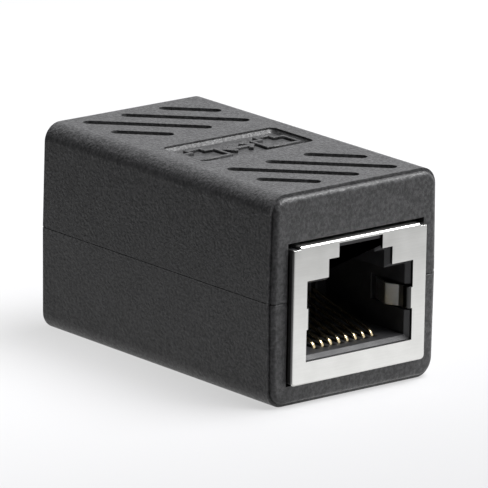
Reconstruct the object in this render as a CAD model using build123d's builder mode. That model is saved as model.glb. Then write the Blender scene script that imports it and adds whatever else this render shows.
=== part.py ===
import os

from build123d import *

# Inline coupler for two modular plugs: a parted plastic housing, a shielded jack in each end
# and a small board between them. X is the width, Y the length, Z up, base on Z = 0.
# Each jack is built in the frame of its own end: sideways, depth in from the face, and up.

# Housing, outside
housing_length = 35.0
housing_width = 20.5
housing_height = 20.5

# Housing shells
seam_height = 10.25
side_wall = 1.5
floor_thickness = 1.5
roof_thickness = 1.5
end_wall = 1.6
long_edge_radius = 1.8
side_draft = 0.15
rim_step = 0.3
rim_length = 0.6
rim_radius = 0.5
seam_bevel = 0.15
tongue_thickness = 0.6
tongue_height = 0.9
tongue_clearance = 0.1
opening_top_clearance = 0.3
opening_side_clearance = 0.1
opening_sill_clearance = 0.1

# Grooves and panel in the top face
groove_width = 1.25
groove_depth = 0.45
groove_angle = -45
groove_spacing = 3.3
groove_inset = 2.2
groove_side_inset = 3.35
groove_panel_gap = 3.25
panel_side_inset = 3.4
panel_length = 6.5
panel_depth = 0.5
panel_edge = 0.2
panel_corner = 0.7
panel_slope = 45

# Folded shield of a jack
sheet = 0.25
shield_side_gap = 0.55
shield_back_gap = 3.5
shield_proud = 0.7
shield_corner = 0.45
shield_bend = 0.15
flange_depth = 1.9
corner_relief = 0.9
leg_width = 1.6
leg_depth = 8.4

# Window in the front of the shield: a wide part for the plug, a step and a latch notch
sill = 2.2
cheek = 1.75
brow = 0.35
step_width = 7.7
step_height = 1.75
notch_width = 5.25
notch_height = 1.35

# Ground springs folded in from both sides of the window
spring_offset = 0.225
spring_height = 2.1
spring_reach = 0.35
spring_lean = 0.65
spring_straight = 1.4
spring_slant = 1.35
spring_return = 2.0
spring_bend = 0.3
spring_pocket = 0.75
spring_clearance = 0.2

# Moulded insulator of a jack
body_clearance = 0.05
cavity_lip = 0.4
cavity_back_wall = 0.6
cavity_floor_skin = 0.75
comb_height = 3.6
comb_depth = 1.2
peg_diameter = 2.4
peg_inset = 2.2
peg_depth = 6.4
peg_lead = 0.3

# Contacts
contact_count = 8
contact_pitch = 1.016
contact_width = 0.36
contact_thickness = 0.3
contact_lift = 0.8
contact_nose_depth = 2.35
contact_nose_rise = 0.3
contact_tip_rise = 2.7
contact_tip_gap = 0.5
contact_bend = 0.75
contact_slot = 0.52
tail_inset = 0.55
tail_row = 2.54
tail_length = 1.0

# Insert that holds the contacts
carrier_front = 1.8
carrier_side_wall = 0.9
carrier_block_inset = 1.4
carrier_block_depth = 3.3
carrier_clearance = 0.1

# Board and what locates it
board_thickness = 1.2
board_headroom = 2.25
board_standoff = 0.3
standoff_size = 3.0
board_side_clearance = 0.3
board_end = 2.6
board_hole_clearance = 0.2
tail_hole = 0.8
tail_hole_sides = 8
pin_diameter = 1.5
pin_inset = 1.95
pin_clearance = 0.15
pin_engagement = 4.0
post_length = 2.4
post_width = 1.2
post_inset = 2.95
post_depth = 9.6

# Cradle in the lower shell
cradle_clearance = 0.1
centre_rib_top = 9.5
pad_height = 0.65
pad_width = 1.4
pad_inset = 3.2
pad_length = 11.0
side_rib_width = 1.2
side_rib_depths = (4.4, 11.6)

# Housing, worked out from the values above
half_length = housing_length / 2 + shield_proud
half_width = housing_width / 2
inner_width = housing_width - 2 * side_wall
inner_length = housing_length - 2 * end_wall
inner_top = housing_height - roof_thickness
groove_field_width = housing_width - 2 * groove_side_inset
groove_field_length = housing_length / 2 - groove_inset - groove_panel_gap - panel_length / 2
panel_width = housing_width - 2 * panel_side_inset

# Board, worked out down from the roof
board_top = inner_top - board_headroom
board_bottom = board_top - board_thickness
board_width = inner_width - 2 * board_side_clearance
board_length = housing_length - 2 * board_end

# Jack, worked out: window and cavity heights, then depths from the face inwards
body_top = board_bottom - board_standoff
shield_top = body_top + sheet + body_clearance
shield_bottom = floor_thickness + pad_height
shield_width = inner_width - 2 * shield_side_gap
shield_depth = half_length - shield_back_gap / 2
window_width = shield_width - 2 * cheek
window_bottom = shield_bottom + sill
notch_top = shield_top - brow
step_top = notch_top - notch_height
window_top = step_top - step_height
spring_bottom = (window_bottom + window_top - spring_height) / 2 + spring_offset
spring_root = window_width / 2 - spring_reach
spring_crown_depth = spring_straight + spring_slant
spring_end_depth = spring_crown_depth + spring_return
body_bottom = shield_bottom + sheet + body_clearance
body_width = shield_width - 2 * (sheet + body_clearance)
body_front = sheet + body_clearance
carrier_end = shield_depth - sheet - body_clearance
carrier_block_front = carrier_end - carrier_block_depth
body_depth = carrier_block_front - carrier_clearance
cavity_depth = body_depth - cavity_back_wall
cavity_floor = window_bottom + cavity_lip
carrier_top = cavity_floor - cavity_floor_skin - carrier_clearance
contact_base = body_bottom + contact_lift
contact_row = (contact_count - 1) * contact_pitch
carrier_width = contact_row + contact_slot + 2 * carrier_side_wall
carrier_block_width = body_width - 2 * carrier_block_inset
peg_spacing = body_width - 2 * peg_inset

# Opening in the housing, and what stands in the shells, worked out
opening_width = shield_width + 2 * opening_side_clearance
opening_bottom = shield_bottom - opening_sill_clearance
opening_top = shield_top + opening_top_clearance
pin_bottom = centre_rib_top - pin_engagement
pin_spacing = board_width - 2 * pin_inset
post_spacing = board_width - 2 * post_inset
pad_spacing = shield_width - 2 * pad_inset


class End:
    # one end of the coupler: which way it looks and the planes it is drawn on

    def __init__(self, name, sign):
        self.name = name
        self.sign = sign
        self.y = -sign * half_length

    def level(self, height):
        # looking down: sideways by depth
        return Plane(origin=(0, self.y, height), x_dir=(self.sign, 0, 0), z_dir=(0, 0, 1))

    def face(self, depth):
        # looking in from outside: sideways by height
        origin = (0, self.y + self.sign * depth, 0)
        return Plane(origin=origin, x_dir=(self.sign, 0, 0), z_dir=(0, -self.sign, 0))

    def section(self, sideways):
        # looking along the width: depth by height
        origin = (self.sign * sideways, self.y, 0)
        return Plane(origin=origin, x_dir=(0, self.sign, 0), z_dir=(self.sign, 0, 0))


def rectangle_between(low, high):
    with Locations(((low[0] + high[0]) / 2, (low[1] + high[1]) / 2)):
        Rectangle(high[0] - low[0], high[1] - low[1])


def contact_places():
    return [i * contact_pitch - contact_row / 2 for i in range(contact_count)]


def tail_place(i):
    return carrier_block_front + tail_inset + (i % 2) * tail_row


def finish(piece, name):
    piece.part.label = name
    export_step(piece.part, f"parts/{name}.step")
    print(name, round(piece.part.volume, 2))


def shell_outline(inset, far):
    # one shell seen along the length, from the seam to its far side, set in all round
    wide = half_width - inset
    narrow = half_width - side_draft - inset
    return ((-wide, seam_height), (wide, seam_height), (narrow, far), (-narrow, far))


def end_outline_edges(part):
    # edges round both end faces, apart from those that lie on the seam
    ends = [part.faces().sort_by(Axis.Y)[0], part.faces().sort_by(Axis.Y)[-1]]
    edges = ShapeList()
    for face in ends:
        edges.extend(e for e in face.edges() if abs(e.center().Z - seam_height) > 0.001)
    return edges


def seam_edges(part):
    # long outer edges on the seam
    on_seam = part.edges().filter_by(Axis.Y).filter_by_position(Axis.Z, seam_height, seam_height)
    return on_seam.group_by(Axis.X)[0] + on_seam.group_by(Axis.X)[-1]


ends = (End("front", 1), End("rear", -1))


def make_top_cover():
    with BuildPart() as top_cover:
        # full section, then a short rim a step smaller at each end
        for inset, reach in ((0, housing_length / 2 - rim_length), (rim_step, housing_length / 2)):
            with BuildSketch(Plane.XZ):
                with BuildLine():
                    Polyline(*shell_outline(inset, housing_height - inset), close=True)
                outline = make_face()
                fillet(outline.vertices().group_by(Axis.Y)[-1], radius=long_edge_radius - inset)
            extrude(amount=reach, both=True)
        fillet(end_outline_edges(top_cover), radius=rim_radius)
        chamfer(seam_edges(top_cover), length=seam_bevel)
        with BuildSketch(Plane.XY.offset(seam_height)):
            Rectangle(inner_width, inner_length)
        extrude(amount=inner_top - seam_height, mode=Mode.SUBTRACT)
        # rebate that takes the tongue of the lower shell
        with BuildSketch(Plane.XY.offset(seam_height)):
            Rectangle(inner_width + 2 * (tongue_thickness + tongue_clearance), inner_length)
        extrude(amount=tongue_height + tongue_clearance, mode=Mode.SUBTRACT)
        for end in ends:
            with BuildSketch(end.face(0)):
                rectangle_between((-opening_width / 2, opening_bottom), (opening_width / 2, opening_top))
            extrude(amount=-(shield_proud + end_wall + 0.5), mode=Mode.SUBTRACT)
        # posts that press on the board, and the two pins that pass through it
        with BuildSketch(Plane.XY.offset(inner_top)):
            for end in ends:
                with Locations((0, end.y + end.sign * post_depth)):
                    with GridLocations(post_spacing, 1, 2, 1):
                        Rectangle(post_width, post_length)
        extrude(amount=-(inner_top - board_top))
        with BuildSketch(Plane.XY.offset(inner_top)):
            with GridLocations(pin_spacing, 1, 2, 1):
                Circle(pin_diameter / 2)
        extrude(amount=-(inner_top - pin_bottom))
        # shallow panel in the middle of the top face: a sharp edge, then sloping sides
        with BuildSketch(Plane.XY.offset(housing_height)):
            RectangleRounded(panel_width, panel_length, panel_corner)
        extrude(amount=-panel_edge, mode=Mode.SUBTRACT)
        with BuildSketch(Plane.XY.offset(housing_height - panel_edge)):
            RectangleRounded(panel_width, panel_length, panel_corner)
        extrude(amount=panel_edge - panel_depth, taper=panel_slope, mode=Mode.SUBTRACT)
        # slanting grooves, clipped to one field at each end
        for end in ends:
            field_middle = housing_length / 2 - groove_inset - groove_field_length / 2
            with BuildSketch(Plane.XY.offset(housing_height)):
                with Locations((0, -end.sign * field_middle)):
                    for place, run in groove_runs():
                        with Locations(place):
                            SlotOverall(run, groove_width, rotation=groove_angle)
            extrude(amount=-groove_depth, mode=Mode.SUBTRACT)
    return top_cover


def groove_runs():
    # middle and length of each groove: slanting lines clipped to the field
    half_x = groove_field_width / 2
    half_y = groove_field_length / 2
    runs = []
    for step in (-1.5, -0.5, 0.5, 1.5):
        total = step * groove_spacing * 2 ** 0.5
        low_x = max(-half_x, total - half_y)
        high_x = min(half_x, total + half_y)
        middle_x = (low_x + high_x) / 2
        runs.append(((middle_x, total - middle_x), (high_x - low_x) * 2 ** 0.5))
    return runs


def make_bottom_cover():
    with BuildPart() as bottom_cover:
        # full section, then a short rim a step smaller at each end
        for inset, reach in ((0, housing_length / 2 - rim_length), (rim_step, housing_length / 2)):
            with BuildSketch(Plane.XZ):
                with BuildLine():
                    Polyline(*shell_outline(inset, inset), close=True)
                outline = make_face()
                fillet(outline.vertices().group_by(Axis.Y)[0], radius=long_edge_radius - inset)
            extrude(amount=reach, both=True)
        fillet(end_outline_edges(bottom_cover), radius=rim_radius)
        chamfer(seam_edges(bottom_cover), length=seam_bevel)
        with BuildSketch(Plane.XY.offset(seam_height)):
            Rectangle(inner_width, inner_length)
        extrude(amount=-(seam_height - floor_thickness), mode=Mode.SUBTRACT)
        # tongue along both long walls
        with BuildSketch(Plane.XY.offset(seam_height)):
            with GridLocations(inner_width + tongue_thickness, 1, 2, 1):
                Rectangle(tongue_thickness, inner_length - 2 * tongue_clearance)
        extrude(amount=tongue_height)
        for end in ends:
            with BuildSketch(end.face(0)):
                rectangle_between((-opening_width / 2, opening_bottom), (opening_width / 2, opening_top))
            extrude(amount=-(shield_proud + end_wall + 0.5), mode=Mode.SUBTRACT)
        # cross rib between the two jacks, with a socket for each pin
        rib_thickness = 2 * (half_length - shield_depth - cradle_clearance)
        with BuildSketch(Plane.XY.offset(floor_thickness)):
            Rectangle(inner_width, rib_thickness)
        extrude(amount=centre_rib_top - floor_thickness)
        with BuildSketch(Plane.XY.offset(centre_rib_top)):
            with GridLocations(pin_spacing, 1, 2, 1):
                Circle(pin_diameter / 2 + pin_clearance)
        extrude(amount=-(pin_engagement + 2 * pin_clearance), mode=Mode.SUBTRACT)
        # pads under each shield and ribs beside it
        for end in ends:
            with BuildSketch(end.level(floor_thickness)):
                with Locations((0, shield_depth / 2)):
                    with GridLocations(pad_spacing, 1, 2, 1):
                        Rectangle(pad_width, pad_length)
            extrude(amount=shield_bottom - floor_thickness)
            rib_inner = shield_width / 2 + cradle_clearance
            rib_middle = (rib_inner + inner_width / 2) / 2
            with BuildSketch(end.level(floor_thickness)):
                for depth in side_rib_depths:
                    with Locations((0, depth)):
                        with GridLocations(2 * rib_middle, 1, 2, 1):
                            Rectangle(inner_width / 2 - rib_inner, side_rib_width)
            extrude(amount=seam_height - floor_thickness)
    return bottom_cover


def make_board():
    with BuildPart() as circuit_board:
        with BuildSketch(Plane.XY.offset(board_bottom)):
            Rectangle(board_width, board_length)
            with GridLocations(pin_spacing, 1, 2, 1):
                Circle(pin_diameter / 2 + pin_clearance, mode=Mode.SUBTRACT)
        extrude(amount=board_thickness)
        for end in ends:
            with BuildSketch(end.level(board_bottom)):
                with Locations((0, peg_depth)):
                    with GridLocations(peg_spacing, 1, 2, 1):
                        Circle((peg_diameter + board_hole_clearance) / 2)
                for i, sideways in enumerate(contact_places()):
                    with Locations((sideways, tail_place(i))):
                        RegularPolygon(tail_hole / 2, tail_hole_sides)
                for side in (-1, 1):
                    inner = side * (shield_width / 2 - sheet - board_hole_clearance)
                    outer = side * board_width
                    reach = leg_width / 2 + board_hole_clearance
                    rectangle_between(
                        (min(inner, outer), leg_depth - reach), (max(inner, outer), leg_depth + reach)
                    )
            extrude(amount=board_thickness, mode=Mode.SUBTRACT)
    return circuit_board


def front_face(part, end):
    outermost = part.faces().filter_by(Axis.Y).sort_by(Axis.Y)
    return outermost[0 if end.sign > 0 else -1]


def make_shield(end):
    edge = shield_width / 2
    with BuildPart() as shield:
        with BuildSketch(end.face(0)) as outline:
            rectangle_between((-edge, shield_bottom), (edge, shield_top))
            fillet(outline.vertices(), radius=shield_corner)
        extrude(amount=-shield_depth)
        chamfer(front_face(shield, end).edges(), length=shield_bend)
        with BuildSketch(end.face(sheet)):
            rectangle_between((-edge + sheet, shield_bottom + sheet), (edge - sheet, shield_top - sheet))
        extrude(amount=-(shield_depth - 2 * sheet), mode=Mode.SUBTRACT)
        # open on the board side behind the short flange
        with BuildSketch(end.level(body_top)):
            rectangle_between((-edge, flange_depth), (edge, shield_depth))
        extrude(amount=shield_top - body_top, mode=Mode.SUBTRACT)
        # slits at the corners that let the flanges fold; the upper ones show in the face
        for height, start in ((shield_bottom, sheet), (shield_top - sheet, 0)):
            with BuildSketch(end.level(height)):
                with Locations((0, (start + flange_depth) / 2)):
                    with GridLocations(shield_width - corner_relief, 1, 2, 1):
                        Rectangle(corner_relief, flange_depth - start)
            extrude(amount=sheet, mode=Mode.SUBTRACT)
        with BuildSketch(end.face(0)):
            for width, top in ((window_width, window_top), (step_width, step_top), (notch_width, notch_top)):
                rectangle_between((-width / 2, window_bottom), (width / 2, top))
        extrude(amount=-sheet, mode=Mode.SUBTRACT)
        # ground legs up through the board
        with BuildSketch(end.level(body_top)):
            with Locations((0, leg_depth)):
                with GridLocations(shield_width - sheet, 1, 2, 1):
                    Rectangle(sheet, leg_width)
        extrude(amount=board_top + tail_length - body_top)
        # ground springs
        for side in (-1, 1):
            with BuildSketch(end.level(spring_bottom)):
                with BuildLine() as spring_line:
                    FilletPolyline(
                        (side * (window_width / 2 + sheet), sheet / 2),
                        (side * spring_root, sheet / 2),
                        (side * spring_root, spring_straight),
                        (side * (spring_root - spring_lean), spring_crown_depth),
                        (side * spring_root, spring_end_depth),
                        radius=spring_bend,
                    )
                trace(spring_line.edges(), line_width=sheet)
            extrude(amount=spring_height)
    return shield


def make_jack_body(end):
    edge = body_width / 2
    lip = cavity_lip
    with BuildPart() as jack_body:
        with BuildSketch(end.face(body_front)):
            rectangle_between((-edge, body_bottom), (edge, body_top))
        extrude(amount=-(body_depth - body_front))
        # plug cavity, a lip smaller than the shield's window, with its lead-in
        with BuildSketch(end.face(body_front)):
            for width, top in ((window_width, window_top), (step_width, step_top), (notch_width, notch_top)):
                rectangle_between((lip - width / 2, cavity_floor), (width / 2 - lip, top - lip))
        extrude(amount=-(cavity_depth - body_front), mode=Mode.SUBTRACT)
        chamfer(front_face(jack_body, end).inner_wires()[0].edges(), length=lip)
        # comb that guides the contact tips
        comb_edge = contact_row / 2 + contact_pitch / 2
        with BuildSketch(end.level(cavity_floor)):
            rectangle_between((-comb_edge, cavity_depth - comb_depth), (comb_edge, cavity_depth))
        extrude(amount=comb_height)
        # slots in the floor and comb, one for each contact
        with BuildSketch(end.level(body_bottom)):
            for sideways in contact_places():
                with Locations((sideways, (carrier_front + cavity_depth) / 2)):
                    Rectangle(contact_slot, cavity_depth - carrier_front)
        extrude(amount=cavity_floor + comb_height - body_bottom, mode=Mode.SUBTRACT)
        # space under the floor for the insert
        with BuildSketch(end.level(body_bottom)):
            insert_edge = carrier_width / 2 + carrier_clearance
            rectangle_between((-insert_edge, carrier_front - carrier_clearance), (insert_edge, body_depth))
        extrude(amount=cavity_floor - cavity_floor_skin - body_bottom, mode=Mode.SUBTRACT)
        # pockets behind the ground springs
        for side in (-1, 1):
            inner = side * (spring_root - sheet)
            outer = side * (spring_root + spring_pocket)
            with BuildSketch(end.level(spring_bottom - spring_clearance)):
                rectangle_between(
                    (min(inner, outer), body_front), (max(inner, outer), spring_end_depth + spring_pocket)
                )
            extrude(amount=spring_height + 2 * spring_clearance, mode=Mode.SUBTRACT)
        # stand-offs and pegs that seat in the board
        with BuildSketch(end.level(body_top)):
            with Locations((0, peg_depth)):
                with GridLocations(peg_spacing, 1, 2, 1):
                    Rectangle(standoff_size, standoff_size)
        extrude(amount=board_standoff)
        with BuildSketch(end.level(board_bottom)):
            with Locations((0, peg_depth)):
                with GridLocations(peg_spacing, 1, 2, 1):
                    Circle(peg_diameter / 2)
        extrude(amount=board_thickness + tail_length)
        peg_tops = jack_body.faces().sort_by(Axis.Z)[-2:]
        chamfer(peg_tops.edges(), length=peg_lead)
    return jack_body


def make_carrier(end):
    room = contact_thickness / 2 + carrier_clearance
    with BuildPart() as carrier:
        with BuildSketch(end.level(body_bottom)):
            rectangle_between((-carrier_width / 2, carrier_front), (carrier_width / 2, carrier_block_front))
        extrude(amount=carrier_top - body_bottom)
        with BuildSketch(end.level(body_bottom)):
            rectangle_between(
                (-carrier_block_width / 2, carrier_block_front), (carrier_block_width / 2, carrier_end)
            )
        extrude(amount=body_top - body_bottom)
        for i, sideways in enumerate(contact_places()):
            tail = tail_place(i)
            floor = contact_base - room
            # groove along the insert, then a channel up the block to the board
            with BuildSketch(end.section(sideways - contact_slot / 2)):
                rectangle_between((carrier_front, floor), (carrier_block_front, carrier_top))
                rectangle_between((carrier_block_front, floor), (tail + room, contact_base + room))
                if i % 2 == 0:
                    rectangle_between((carrier_block_front, floor), (tail + room, body_top))
                else:
                    rectangle_between((tail - room, floor), (carrier_end, body_top))
            extrude(amount=contact_slot, mode=Mode.SUBTRACT)
    return carrier


def make_contact(end, i):
    tail = tail_place(i)
    with BuildPart() as contact:
        with BuildSketch(end.section(contact_places()[i] - contact_width / 2)):
            with BuildLine() as path:
                nose = FilletPolyline(
                    (carrier_block_front, contact_base),
                    (contact_nose_depth, contact_base),
                    (contact_nose_depth, cavity_floor + contact_nose_rise),
                    (cavity_depth - contact_tip_gap, cavity_floor + contact_tip_rise),
                    radius=contact_bend,
                )
                Polyline(nose @ 0, (tail, contact_base), (tail, board_top + tail_length))
            trace(path.edges(), line_width=contact_thickness)
        extrude(amount=contact_width)
    return contact


os.makedirs("parts", exist_ok=True)
finish(make_top_cover(), "top_cover")
finish(make_bottom_cover(), "bottom_cover")
finish(make_board(), "circuit_board")
for end in ends:
    finish(make_shield(end), f"{end.name}_shield")
    finish(make_jack_body(end), f"{end.name}_jack_body")
    finish(make_carrier(end), f"{end.name}_contact_carrier")
    for i in range(contact_count):
        finish(make_contact(end, i), f"{end.name}_contact_{i + 1}")
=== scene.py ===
import math

import bmesh
import bpy
from mathutils import Matrix, Vector


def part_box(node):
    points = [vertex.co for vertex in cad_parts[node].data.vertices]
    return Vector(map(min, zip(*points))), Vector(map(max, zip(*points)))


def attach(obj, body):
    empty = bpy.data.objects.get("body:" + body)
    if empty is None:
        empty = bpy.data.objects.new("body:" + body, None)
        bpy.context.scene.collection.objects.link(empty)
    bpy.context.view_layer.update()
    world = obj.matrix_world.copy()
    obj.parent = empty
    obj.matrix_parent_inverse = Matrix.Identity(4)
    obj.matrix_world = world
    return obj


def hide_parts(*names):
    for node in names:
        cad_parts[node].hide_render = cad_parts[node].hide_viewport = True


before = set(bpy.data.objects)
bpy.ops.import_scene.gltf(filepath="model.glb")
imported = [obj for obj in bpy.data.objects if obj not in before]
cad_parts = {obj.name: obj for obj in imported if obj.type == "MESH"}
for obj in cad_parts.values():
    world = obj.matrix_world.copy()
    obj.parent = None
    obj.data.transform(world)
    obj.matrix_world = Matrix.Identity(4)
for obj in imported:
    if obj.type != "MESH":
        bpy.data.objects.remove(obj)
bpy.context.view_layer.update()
print("stage: packed model loaded,", len(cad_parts), "nodes")

mm = 0.001  # everything below is written in millimetres and turned to metres with this


def linearFromHex(text):
    # sRGB hex to the linear colour that shaders want
    values = [int(text[i:i + 2], 16) / 255 for i in (1, 3, 5)]
    return tuple(v / 12.92 if v <= 0.04045 else ((v + 0.055) / 1.055) ** 2.4 for v in values) + (1.0,)


def addNode(tree, kind, values=None, links=None, **settings):
    # one node with its settings, its fixed input values and what is plugged into it
    node = tree.nodes.new(kind)
    for name, value in settings.items():
        setattr(node, name, value)
    for socket, value in (values or {}).items():
        node.inputs[socket].default_value = value
    for socket, source in (links or {}).items():
        tree.links.new(source, node.inputs[socket])
    return node


def compute(tree, operation, *terms):
    # one sum on sockets and plain numbers
    values = {i: term for i, term in enumerate(terms) if isinstance(term, (int, float))}
    links = {i: term for i, term in enumerate(terms) if i not in values}
    return addNode(tree, "ShaderNodeMath", operation=operation, values=values, links=links).outputs[0]


def blend(tree, share, first, second):
    # two sockets mixed, the second by the share given
    mix = addNode(tree, "ShaderNodeMix", data_type="FLOAT", values={"Factor": share},
                  links={"A": first, "B": second})
    return mix.outputs["Result"]


def smoothRamp(tree, source, span, low, high):
    # a smooth run from low to high while the source crosses the span
    ramp = addNode(tree, "ShaderNodeMapRange", interpolation_type="SMOOTHSTEP", links={"Value": source},
                   values={"From Min": span[0], "From Max": span[1], "To Min": low, "To Max": high})
    return ramp.outputs["Result"]


def startMaterial(name):
    # an empty surface material and its object coordinates in metres
    material = bpy.data.materials.new(name)
    material.use_nodes = True
    tree = material.node_tree
    tree.nodes.clear()
    coordinates = addNode(tree, "ShaderNodeTexCoord")
    return material, tree, coordinates.outputs["Object"]


def closeMaterial(tree, shader):
    addNode(tree, "ShaderNodeOutputMaterial", links={"Surface": shader.outputs[0]})


# A pattern is given as its size in millimetres, its detail and its roughness
def noise(tree, place, pattern):
    size, detail, roughness = pattern
    node = addNode(tree, "ShaderNodeTexNoise", links={"Vector": place},
                   values={"Scale": 1 / (size * mm), "Detail": detail, "Roughness": roughness})
    return node.outputs["Fac"]


def tint(tree, source, look):
    # from the dark colour to the light one while the source crosses the tint span
    ramp = addNode(tree, "ShaderNodeValToRGB", links={"Fac": source})
    for element, position, shade in zip(ramp.color_ramp.elements, look["tintSpan"], ("dark", "light")):
        element.position = position
        element.color = linearFromHex(look[shade])
    return ramp.outputs["Color"]


def gloss(tree, source, look):
    # from the first roughness to the second while the source crosses the gloss span
    start, end = look["glossSpan"]
    first, second = look["roughness"]
    run = addNode(tree, "ShaderNodeMapRange", links={"Value": source},
                  values={"From Min": start, "From Max": end, "To Min": first, "To Max": second})
    return run.outputs["Result"]


def relief(tree, source, look):
    strength, depth = look["relief"]
    bump = addNode(tree, "ShaderNodeBump", links={"Height": source},
                   values={"Strength": strength, "Distance": depth * mm})
    return bump.outputs["Normal"]


# Housing: black ABS from a spark-eroded mould, a dull dark grey with a fine sandy grain
absLook = {
    "dark": "#2D2D2E",
    "light": "#4F4F50",
    "tintSpan": (0.40, 0.62),
    "roughness": (0.50, 0.36),
    "glossSpan": (0.35, 0.65),
    "grain": (0.31, 3.0, 0.6),  # the real grain is about 0.1 mm, drawn coarser so that it shows
    "mottle": (1.6, 3.0, 0.55),
    "mottleShare": 0.2,
    "relief": (1.0, 0.095),  # strength of the grain's bump and its depth in millimetres
    "ior": 1.52,
}


def sparkErodedAbs():
    material, tree, place = startMaterial("sparkErodedAbs")
    look = absLook
    grain = noise(tree, place, look["grain"])
    both = blend(tree, look["mottleShare"], grain, noise(tree, place, look["mottle"]))
    shader = addNode(tree, "ShaderNodeBsdfPrincipled", values={"IOR": look["ior"]},
                     links={"Base Color": tint(tree, both, look), "Roughness": gloss(tree, both, look),
                            "Normal": relief(tree, grain, look)})
    closeMaterial(tree, shader)
    return material


# Shields: steel sheet, pressed, then nickel-plated. Satin bright metal with faint rolling lines
nickelLook = {
    "dark": "#D2D2D0",
    "light": "#E0E0DE",
    "tintSpan": (0.35, 0.65),
    "roughness": (0.28, 0.36),
    "glossSpan": (0.35, 0.65),
    "lines": (0.12, 2.0, 0.5),
    "lineStretch": 0.05,  # the rolling lines run across the width, drawn out along X by this scale
    "smudge": (3.0, 3.0, 0.5),
    "smudgeShare": 0.75,
    "relief": (0.1, 0.002),
    "sheared": "#484848",  # bare cut edges of the window
    "paintedWallShade": "#6C6C6C",  # painted shade on the side walls, which stand in the shade of the gap round the shield
    "faceMm": 18.192,  # the pressed face lies beyond this distance along the length
    "backMm": 17.45,
    "windowMm": 6.7,  # the window's edges lie inside this half width
    "windowHeightMm": (3.6, 15.24),
    "wallMm": 8.1,  # the side walls lie beyond this half width
}


def nickelPlate():
    material, tree, place = startMaterial("nickelPlatedSteel")
    look = nickelLook
    drawnOut = addNode(tree, "ShaderNodeMapping", links={"Vector": place},
                       values={"Scale": (look["lineStretch"], 1.0, 1.0)})
    lines = noise(tree, drawnOut.outputs["Vector"], look["lines"])
    both = blend(tree, look["smudgeShare"], lines, noise(tree, place, look["smudge"]))
    axes = addNode(tree, "ShaderNodeSeparateXYZ", links={"Vector": place}).outputs
    across = compute(tree, "ABSOLUTE", axes["X"])
    along = compute(tree, "ABSOLUTE", axes["Y"])
    # the rim is the folded part just behind the pressed face, at both ends
    rim = compute(tree, "MULTIPLY", compute(tree, "LESS_THAN", along, look["faceMm"] * mm),
                  compute(tree, "GREATER_THAN", along, look["backMm"] * mm))
    window = rim  # less what lies outside the window's two heights
    for test, height in zip(("GREATER_THAN", "LESS_THAN"), look["windowHeightMm"]):
        window = compute(tree, "MULTIPLY", window, compute(tree, test, axes["Z"], height * mm))
    colour = tint(tree, both, look)
    # the window's bare cut edges are darker, and the side walls get painted shade from the gap round the
    # shield
    for shade, part, test, edge in (("sheared", window, "LESS_THAN", "windowMm"),
                                    ("paintedWallShade", rim, "GREATER_THAN", "wallMm")):
        share = compute(tree, "MULTIPLY", part, compute(tree, test, across, look[edge] * mm))
        mixed = addNode(tree, "ShaderNodeMix", data_type="RGBA", values={"B": linearFromHex(look[shade])},
                        links={"Factor": share, "A": colour})
        colour = mixed.outputs["Result"]
    shader = addNode(tree, "ShaderNodeBsdfPrincipled", values={"Metallic": 1.0},
                     links={"Base Color": colour, "Roughness": gloss(tree, both, look),
                            "Normal": relief(tree, lines, look)})
    closeMaterial(tree, shader)
    return material


# Jack bodies and inserts: moulded black PBT, smoother and deeper black than the housing
pbtLook = {
    "dark": "#2B2B2D",
    "light": "#39393B",
    "tintSpan": (0.35, 0.7),
    "roughness": (0.44, 0.56),
    "glossSpan": (0.35, 0.65),
    "flow": (1.2, 2.0, 0.5),
    "fine": (0.15, 1.0, 0.5),
    "relief": (0.3, 0.004),
    "ior": 1.55,
}


def mouldedPbt():
    material, tree, place = startMaterial("mouldedPbt")
    look = pbtLook
    flow = noise(tree, place, look["flow"])
    fine = noise(tree, place, look["fine"])
    shader = addNode(tree, "ShaderNodeBsdfPrincipled", values={"IOR": look["ior"]},
                     links={"Base Color": tint(tree, flow, look), "Roughness": gloss(tree, flow, look),
                            "Normal": relief(tree, fine, look)})
    closeMaterial(tree, shader)
    return material


# Contacts: phosphor bronze wire, gold over nickel. Warm, bright and smooth, with drawn lines
goldLook = {
    "dark": "#E4CF9E",
    "light": "#FAEBC8",
    "tintSpan": (0.3, 0.7),
    "roughness": (0.17, 0.26),
    "glossSpan": (0.3, 0.7),
    "drawn": (0.08, 2.0, 0.5),
}


def goldPlate():
    material, tree, place = startMaterial("goldPlatedBronze")
    drawn = noise(tree, place, goldLook["drawn"])
    shader = addNode(tree, "ShaderNodeBsdfPrincipled", values={"Metallic": 1.0},
                     links={"Base Color": tint(tree, drawn, goldLook),
                            "Roughness": gloss(tree, drawn, goldLook)})
    closeMaterial(tree, shader)
    return material


# Board: glass epoxy under green solder mask, glossy, with the glass weave just showing through
boardLook = {
    "dark": "#0C4A28",
    "light": "#137040",
    "tintSpan": (0.0, 1.0),
    "weaveMm": 0.45,
    "waveBand": 0.314,  # bands of a wave texture of scale 1 lie this far apart
    "distortion": 0.6,
    "roughness": 0.3,
    "ior": 1.5,
    "coat": 0.4,
    "coatRoughness": 0.12,
}


def solderMask():
    material, tree, place = startMaterial("solderMaskBoard")
    look = boardLook
    bands = [addNode(tree, "ShaderNodeTexWave", links={"Vector": place}, wave_type="BANDS",
                     bands_direction=axis, values={"Scale": look["waveBand"] / (look["weaveMm"] * mm),
                                                   "Distortion": look["distortion"]}).outputs["Fac"]
             for axis in ("X", "Y")]
    weave = blend(tree, 0.5, *bands)
    shader = addNode(tree, "ShaderNodeBsdfPrincipled", links={"Base Color": tint(tree, weave, look)},
                     values={"Roughness": look["roughness"], "IOR": look["ior"],
                             "Coat Weight": look["coat"], "Coat Roughness": look["coatRoughness"]})
    closeMaterial(tree, shader)
    return material


finishes = {
    "housing": sparkErodedAbs(),
    "shield": nickelPlate(),
    "insulator": mouldedPbt(),
    "contact": goldPlate(),
    "board": solderMask(),
}
print("stage: materials made,", len(finishes))


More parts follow.
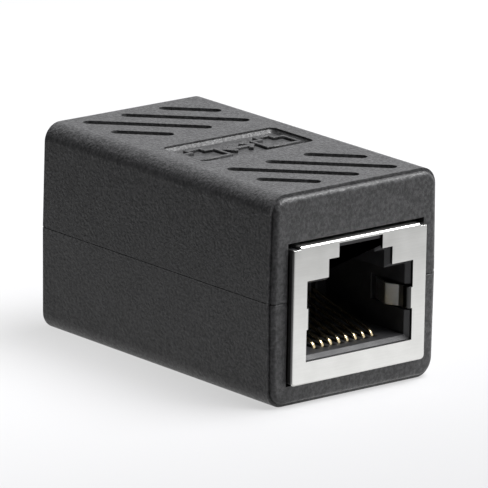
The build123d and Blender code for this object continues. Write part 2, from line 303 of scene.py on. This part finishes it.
def putPiece(name, mesh, slot, *nodes):
    # a finished mesh becomes a piece on the root body, standing for the CAD nodes named
    piece = bpy.data.objects.new(name, mesh)
    bpy.context.scene.collection.objects.link(piece)
    mesh.materials.clear()
    mesh.materials.append(finishes[slot])
    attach(piece, "root")
    if nodes:
        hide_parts(*nodes)
    return piece


# Refined copies of the moulded and pressed pieces. The covers' edges are rolled in the CAD already,
# so they only get even shading, and the shields and insulators have their hard edges eased
copies = {
    "covers": {"top_cover": "topShell", "bottom_cover": "bottomShell"},
    "shields": {"front_shield": "frontShell", "rear_shield": "rearShell"},
    "insulators": {"front_jack_body": "frontInsulator", "rear_jack_body": "rearInsulator"},
    "joinMm": 0.002,  # corners nearer than this are one point
    "flatDegrees": 0.5,  # lines where the surface turns less than this are dissolved
    "sharpDegrees": 25,  # sharper turns than this are hard edges, flatter ones are curved faces
    "easedMm": 0.05,
    "easedSegments": 2,
}

# The bevel at the seam of the covers: its root is brought out, as it shows only faintly
seamBevel = {"height": 10.25, "root": 10.10, "shownRoot": 10.19, "near": 0.005}


def shallowSeam(shape):
    bevel = seamBevel
    for point in shape.verts:
        across, height = abs(point.co.x) / mm, point.co.z / mm
        if abs(height - bevel["height"]) < bevel["near"] and abs(across - bevel["root"]) < bevel["near"]:
            point.co.x = math.copysign(bevel["shownRoot"] * mm, point.co.x)


def weldedMesh(node, name):
    # CAD meshes are loose triangles: join them and dissolve the lines inside flat faces
    shape = bmesh.new()
    shape.from_mesh(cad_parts[node].data)
    bmesh.ops.remove_doubles(shape, verts=shape.verts, dist=copies["joinMm"] * mm)
    bmesh.ops.dissolve_limit(shape, angle_limit=math.radians(copies["flatDegrees"]),
                             verts=shape.verts, edges=shape.edges)
    if node in copies["covers"]:
        shallowSeam(shape)
    shape.verts.index_update()
    points = [tuple(v.co) for v in shape.verts]
    faces = [[v.index for v in f.verts] for f in shape.faces]
    shape.free()
    mesh = bpy.data.meshes.new(name)
    mesh.from_pydata(points, [], faces)
    mesh.shade_smooth()
    return mesh


def makeCovers():
    # large flat faces lead the shading, so that they stay flat beside the rolled edges
    for node, name in copies["covers"].items():
        cover = putPiece(name, weldedMesh(node, name), "housing", node)
        cover.data.set_sharp_from_angle(angle=math.radians(copies["sharpDegrees"]))
        even = cover.modifiers.new("evenShading", "WEIGHTED_NORMAL")
        even.mode = "FACE_AREA"
        even.keep_sharp = True


def makeEased(pieces, slot):
    for node, name in pieces.items():
        piece = putPiece(name, weldedMesh(node, name), slot, node)
        ease = piece.modifiers.new("easedEdges", "BEVEL")
        ease.limit_method = "ANGLE"
        ease.angle_limit = math.radians(copies["sharpDegrees"])
        ease.width = copies["easedMm"] * mm
        ease.segments = copies["easedSegments"]
        ease.use_clamp_overlap = False
        ease.harden_normals = True


makeCovers()
makeEased(copies["shields"], "shield")
makeEased(copies["insulators"], "insulator")
print("stage: shells, shields and insulators made")


def growMesh(name, path, tree, settings):
    # runs a node tree once on a path and keeps its result as a plain mesh
    maker = bpy.data.objects.new(name, path)
    bpy.context.scene.collection.objects.link(maker)
    grow = maker.modifiers.new("grow", "NODES")
    grow.node_group = tree
    for socket in tree.interface.items_tree:
        if socket.in_out == "INPUT" and socket.name in settings:
            grow[socket.identifier] = settings[socket.name]
    view = bpy.context.evaluated_depsgraph_get()
    mesh = bpy.data.meshes.new_from_object(maker.evaluated_get(view), depsgraph=view)
    maker.modifiers.remove(grow)
    bpy.data.objects.remove(maker)
    return mesh


def startTree(name, floats, counts=()):
    # a node tree with a geometry socket each way and its named sizes and counts
    tree = bpy.data.node_groups.new(name, "GeometryNodeTree")
    tree.interface.new_socket("Geometry", in_out="INPUT", socket_type="NodeSocketGeometry")
    tree.interface.new_socket("Geometry", in_out="OUTPUT", socket_type="NodeSocketGeometry")
    for label in floats:
        tree.interface.new_socket(label, in_out="INPUT", socket_type="NodeSocketFloat")
    for label in counts:
        tree.interface.new_socket(label, in_out="INPUT", socket_type="NodeSocketInt")
    return tree, addNode(tree, "NodeGroupInput").outputs


def closeTree(tree, shape, finish):
    # every tree ends as real geometry with its material on it
    whole = addNode(tree, "GeometryNodeRealizeInstances", links={"Geometry": shape})
    smooth = addNode(tree, "GeometryNodeSetShadeSmooth", links={"Geometry": whole.outputs[0]})
    coated = addNode(tree, "GeometryNodeSetMaterial", links={"Geometry": smooth.outputs[0]})
    coated.inputs["Material"].default_value = finish
    addNode(tree, "NodeGroupOutput", links={"Geometry": coated.outputs[0]})


def sweep(tree, path, width, height, corner, steps):
    # a bar along the path, of a rectangular section with its corners rounded in a few steps
    block = addNode(tree, "GeometryNodeCurvePrimitiveQuadrilateral",
                    links={"Width": width, "Height": height})
    section = addNode(tree, "GeometryNodeFilletCurve", mode="POLY", values={"Count": steps},
                      links={"Curve": block.outputs[0], "Radius": corner})
    bar = addNode(tree, "GeometryNodeCurveToMesh", values={"Fill Caps": True},
                  links={"Curve": path, "Profile Curve": section.outputs[0]})
    return bar.outputs[0]


def pathMesh(name, chains, bends=None):
    # runs of points as edges, each point with the radius of its bend
    points, edges = [], []
    for chain in chains:
        start = len(points)
        points += chain
        edges += [(start + i, start + i + 1) for i in range(len(chain) - 1)]
    mesh = bpy.data.meshes.new(name)
    mesh.from_pydata([tuple(c * mm for c in p) for p in points], edges, [])
    radius = mesh.attributes.new("bend", "FLOAT", "POINT")
    radius.data.foreach_set("value", [b * mm for b in (bends or [0.0] * len(points))])
    return mesh


# Spring contacts: eight wires in each jack, bent at the nose, tails in two rows through the board
contactWire = {
    "Wire Width": 0.36,
    "Wire Thickness": 0.30,
    "Wire Corner": 0.09,
    "cornerSteps": 3,
    "noseRise": 1.8,  # from the run in the insert up to the nose
    "tipRise": 4.2,  # from that run up to the free end
    "tipBack": 9.3,  # from the nose back to the free end
    "bends": (0.0, 0.3, 0.75, 0.75, 0.0),
    "bendSteps": 7,
    "perJack": 8,
}


def contactTree():
    tree, given = startTree("springContacts", ("Wire Width", "Wire Thickness", "Wire Corner", "Row Step"),
                            ("Row Count",))
    line = addNode(tree, "GeometryNodeMeshToCurve", links={"Mesh": given["Geometry"]})
    bend = addNode(tree, "GeometryNodeInputNamedAttribute", data_type="FLOAT", values={"Name": "bend"})
    bent = addNode(tree, "GeometryNodeFilletCurve", mode="POLY", values={"Count": contactWire["bendSteps"]},
                   links={"Curve": line.outputs[0], "Radius": bend.outputs["Attribute"]})
    wire = sweep(tree, bent.outputs[0], given["Wire Width"], given["Wire Thickness"], given["Wire Corner"],
                 contactWire["cornerSteps"])
    step = addNode(tree, "ShaderNodeCombineXYZ", links={"X": given["Row Step"]})
    row = addNode(tree, "GeometryNodeMeshLine", mode="OFFSET",
                  links={"Count": given["Row Count"], "Offset": step.outputs[0]})
    wires = addNode(tree, "GeometryNodeInstanceOnPoints",
                    links={"Points": row.outputs[0], "Instance": wire})
    closeTree(tree, wires.outputs[0], finishes["contact"])
    return tree


def makeContacts(tree, end, sign):
    # the path of each row is read off the box of its first contact
    wire = contactWire
    half = wire["Wire Thickness"] / 2
    chains, middles = [], []
    for first in (1, 2):
        low, high = ([c / mm for c in corner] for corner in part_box(f"{end}_contact_{first}"))
        nose = sign * min(sign * low[1], sign * high[1]) + sign * half
        tail = sign * max(sign * low[1], sign * high[1]) - sign * half
        x, base = (low[0] + high[0]) / 2, low[2] + half
        middles.append(x)
        chains.append([(x, tail, high[2]), (x, tail, base), (x, nose, base),
                       (x, nose, base + wire["noseRise"]),
                       (x, nose + sign * wire["tipBack"], base + wire["tipRise"])])
    path = pathMesh(end + "ContactPath", chains, wire["bends"] * len(chains))
    sizes = {name: value * mm for name, value in wire.items() if name.startswith("Wire")}
    sizes["Row Step"] = len(chains) * (middles[1] - middles[0]) * mm
    sizes["Row Count"] = wire["perJack"] // len(chains)
    mesh = growMesh(end + "Contacts", path, tree, sizes)
    nodes = [f"{end}_contact_{i + 1}" for i in range(wire["perJack"])]
    putPiece(end + "Contacts", mesh, "contact", *nodes)


springs = contactTree()
makeContacts(springs, "front", 1)
makeContacts(springs, "rear", -1)
print("stage: contacts bent")

# Raised marks in the panel: a plain port outline at each side and an arrow that points both ways
panelMarks = {
    "Stroke": 0.46,
    "Raised": 0.28,
    "Sunk": 0.05,
    "Soft Edge": 0.06,
    "edgeSteps": 2,
    "floorDepth": 0.5,  # panel floor below the top face
    "portMiddle": 4.25,
    "portWidth": 3.9,
    "portDepth": 2.5,
    "tab": (1.7, 0.9),
    "arrowHalf": 1.75,
    "arrowHead": 0.95,
    "shaftDrop": 0.03,  # the shaft's top lies this much lower, where it runs into the heads
}


def markTree():
    tree, given = startTree("raisedMarks", ("Stroke", "Raised", "Sunk", "Soft Edge"))
    line = addNode(tree, "GeometryNodeMeshToCurve", links={"Mesh": given["Geometry"]})
    upright = addNode(tree, "GeometryNodeSetCurveNormal", mode="Z_UP", links={"Curve": line.outputs[0]})
    tall = compute(tree, "ADD", given["Raised"], given["Sunk"])
    bar = sweep(tree, upright.outputs[0], given["Stroke"], tall, given["Soft Edge"],
                panelMarks["edgeSteps"])
    closeTree(tree, bar, finishes["housing"])
    return tree


def makeMarks():
    marks = panelMarks
    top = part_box("top_cover")[1][2] / mm
    level = top - marks["floorDepth"] + (marks["Raised"] - marks["Sunk"]) / 2
    half, deep = marks["portWidth"] / 2, marks["portDepth"]
    tabWidth, tabRise = marks["tab"]
    base = -(deep + tabRise) / 2
    outline = [(0, base), (half, base), (half, base + deep), (tabWidth / 2, base + deep),
               (tabWidth / 2, -base), (0, -base)]
    outline += [(-x, y) for x, y in reversed(outline[:-1])]
    chains = [[(side * marks["portMiddle"] + x, y, level) for x, y in outline] for side in (-1, 1)]
    reach, head = marks["arrowHalf"], marks["arrowHead"]
    shaft, lower = reach - marks["Stroke"] / 2, level - marks["shaftDrop"]
    chains.append([(-shaft, 0, lower), (shaft, 0, lower)])
    for side in (-1, 1):
        barb = side * (reach - head)
        chains.append([(barb, head, level), (side * reach, 0, level), (barb, -head, level)])
    sizes = {name: marks[name] * mm for name in ("Stroke", "Raised", "Sunk", "Soft Edge")}
    mesh = growMesh("panelMarks", pathMesh("markPath", chains), markTree(), sizes)
    putPiece("panelMarks", mesh, "housing")


makeMarks()
print("stage: panel marks raised")

# Latch lips: the insulator's edge that shows as a flat band below the brow of the latch notch
latchLip = {"halfWidth": 2.6, "bottom": 14.83, "top": 15.19, "front": 17.94, "deep": 0.3}


def makeLips():
    lip = latchLip
    for name, sign in (("frontLatchLip", -1), ("rearLatchLip", 1)):
        shape = bmesh.new()
        size = (2 * lip["halfWidth"], lip["deep"], lip["top"] - lip["bottom"])
        spot = (0, sign * (lip["front"] - lip["deep"] / 2), (lip["top"] + lip["bottom"]) / 2)
        place = Matrix.Translation([c * mm for c in spot]) @ Matrix.Diagonal([c * mm for c in size] + [1])
        bmesh.ops.create_cube(shape, size=1, matrix=place)
        mesh = bpy.data.meshes.new(name)
        shape.to_mesh(mesh)
        shape.free()
        putPiece(name, mesh, "insulator")


makeLips()
print("stage: latch lips set")

# Inner parts that show as the CAD made them
innerParts = {
    "front_contact_carrier": "insulator",
    "rear_contact_carrier": "insulator",
    "circuit_board": "board",
}


def coatInnerParts():
    for name, slot in innerParts.items():
        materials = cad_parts[name].data.materials
        materials.clear()
        materials.append(finishes[slot])


coatInnerParts()
print("stage: inner parts coated")

# Camera: fitted to the photograph by least squares on the corners of the part
cameraFit = {
    "target": (0.0, 0.0, 10.25),
    "azimuth": -39.7,
    "elevation": 15.26,
    "roll": 1.0,
    "distance": 700.0,
    "focalPixels": 7347.0,
    "offset": (-7.3, -4.3),  # pixels from the middle of the frame
    "frame": 488,
    "sensorMm": 36.0,
    "clip": (0.05, 20.0),  # metres
}


def makeCamera():
    fit = cameraFit
    az, el, roll = (math.radians(fit[k]) for k in ("azimuth", "elevation", "roll"))
    back = Vector((math.sin(az) * math.cos(el), -math.cos(az) * math.cos(el), math.sin(el)))
    right = Vector((math.cos(az), math.sin(az), 0))
    up = back.cross(right)
    side = right * math.cos(roll) + up * math.sin(roll)
    top = up * math.cos(roll) - right * math.sin(roll)
    step = fit["distance"] / fit["focalPixels"]
    spot = Vector(fit["target"]) + back * fit["distance"]
    spot -= side * (fit["offset"][0] * step) + top * (fit["offset"][1] * step)
    data = bpy.data.cameras.new("camera")
    data.sensor_width = fit["sensorMm"]
    data.lens = fit["focalPixels"] / fit["frame"] * data.sensor_width
    data.clip_start, data.clip_end = fit["clip"]
    camera = bpy.data.objects.new("camera", data)
    bpy.context.scene.collection.objects.link(camera)
    turn = Matrix((side, top, back)).transposed().to_4x4()
    camera.matrix_world = Matrix.Translation(spot * mm) @ turn
    bpy.context.scene.camera = camera


makeCamera()

# Floor: a plain pale sheet. The lift whitens it to the camera, with painted shade towards the front, and
# what shines
# sees a painted reflection of it: a painted shadow along the left of the part, and painted shade towards
# the far left and the front, as under a soft light from the right
floorLook = {
    "colour": "#89898B",
    "size": 3.0,  # metres
    "drop": 0.02,  # just clear of the underside
    "lift": 0.66,
    "paintedShadeFrontLift": 0.45,
    "liftDepthMm": (-60, 20),
    "shine": 1.18,
    "leftPaintedShadow": 0.58,
    "leftMm": (-9, -1),
    "leftSlant": 0.35,  # the painted shadow widens this much for each millimetre behind the near end
    "nearEndMm": -18,
    "farLeftPaintedShade": 0.35,
    "farLeftMm": (-90, -25),
    "frontPaintedShade": 0.42,
    "frontMm": (-66, -42),
}


def makeFloor():
    look = floorLook
    half, low = look["size"] / 2, -look["drop"] * mm
    mesh = bpy.data.meshes.new("floor")
    mesh.from_pydata([(-half, -half, low), (half, -half, low), (half, half, low), (-half, half, low)], [],
                     [(0, 1, 2, 3)])
    material, tree, place = startMaterial("paleCard")
    axes = addNode(tree, "ShaderNodeSeparateXYZ", links={"Vector": place}).outputs
    path = addNode(tree, "ShaderNodeLightPath").outputs

    def shade(source, span, low, high):
        return smoothRamp(tree, source, [c * mm for c in look[span]], low, high)

    # painted shade: the lift is weaker towards the front
    lift = compute(tree, "MULTIPLY", shade(axes["Y"], "liftDepthMm", look["paintedShadeFrontLift"], look["lift"]),
                   path["Is Camera Ray"])
    matt = addNode(tree, "ShaderNodeBsdfDiffuse", values={"Color": linearFromHex(look["colour"])})
    glow = addNode(tree, "ShaderNodeEmission", links={"Strength": lift})
    lit = addNode(tree, "ShaderNodeAddShader", links={0: matt.outputs[0], 1: glow.outputs[0]})

    # painted shadow beside the part and painted shade towards the far left and the front, seen only in
    # reflections
    behind = compute(tree, "SUBTRACT", axes["Y"], look["nearEndMm"] * mm)
    slant = compute(tree, "MULTIPLY_ADD", behind, -look["leftSlant"], axes["X"])
    left = compute(tree, "MULTIPLY", shade(slant, "leftMm", look["leftPaintedShadow"], 1.0),
                   shade(axes["X"], "farLeftMm", look["farLeftPaintedShade"], 1.0))
    shine = compute(tree, "MULTIPLY", left, shade(axes["Y"], "frontMm", look["frontPaintedShade"], look["shine"]))
    paintedReflection = addNode(tree, "ShaderNodeEmission", links={"Strength": shine})
    reflected = compute(tree, "MAXIMUM", path["Is Glossy Ray"], path["Is Transmission Ray"])
    card = addNode(tree, "ShaderNodeMixShader",
                   links={0: reflected, 1: lit.outputs[0], 2: paintedReflection.outputs[0]})
    closeMaterial(tree, card)
    mesh.materials.append(material)
    floor = bpy.data.objects.new("floor", mesh)
    bpy.context.scene.collection.objects.link(floor)


makeFloor()

# Soft studio light: the main box high on the right and a weak one in front. Sizes in millimetres
lamps = {
    "keyRight": {"place": (165, -110, 440), "aim": (0, 0, 10), "size": 320, "power": 4.0},
    "frontFill": {"place": (60, -420, 330), "aim": (0, 0, 10), "size": 160, "power": 0.25},
}


def makeLamps():
    for name, lamp in lamps.items():
        data = bpy.data.lights.new(name, "AREA")
        data.shape = "SQUARE"
        data.size = lamp["size"] * mm
        data.energy = lamp["power"]
        light = bpy.data.objects.new(name, data)
        bpy.context.scene.collection.objects.link(light)
        place = Vector(lamp["place"]) * mm
        aim = Vector(lamp["aim"]) * mm - place
        turn = aim.to_track_quat("-Z", "Y").to_matrix().to_4x4()
        light.matrix_world = Matrix.Translation(place) @ turn


# Room: pale all round, white to the camera, and dark towards the left for light and reflections
roomLook = {
    "colour": "#E4E4E6",
    "light": 0.30,
    "background": 1.0,
    "shine": 1.0,
    "leftShare": 0.05,
    "leftX": (-0.55, 0.05),  # sideways part of the direction over which the room darkens
}


def makeRoom():
    look = roomLook
    world = bpy.data.worlds.new("studio")
    world.use_nodes = True
    bpy.context.scene.world = world
    tree = world.node_tree
    tree.nodes.clear()
    path = addNode(tree, "ShaderNodeLightPath").outputs
    outward = addNode(tree, "ShaderNodeTexCoord").outputs["Object"]
    axes = addNode(tree, "ShaderNodeSeparateXYZ", links={"Vector": outward}).outputs
    reflected = compute(tree, "MAXIMUM", path["Is Glossy Ray"], path["Is Transmission Ray"])
    level = addNode(tree, "ShaderNodeMix", data_type="FLOAT", links={"Factor": reflected},
                    values={"A": look["light"], "B": look["shine"]})
    soft = compute(tree, "MULTIPLY", level.outputs["Result"],
                   smoothRamp(tree, axes["X"], look["leftX"], look["leftShare"], 1.0))
    strength = addNode(tree, "ShaderNodeMix", data_type="FLOAT", values={"B": look["background"]},
                       links={"Factor": path["Is Camera Ray"], "A": soft})
    sky = addNode(tree, "ShaderNodeBackground", links={"Strength": strength.outputs["Result"]},
                  values={"Color": linearFromHex(look["colour"])})
    addNode(tree, "ShaderNodeOutputWorld", links={"Surface": sky.outputs[0]})


makeLamps()
makeRoom()
bpy.context.scene.view_settings.view_transform = "Standard"
print("stage: camera, floor and lights placed")
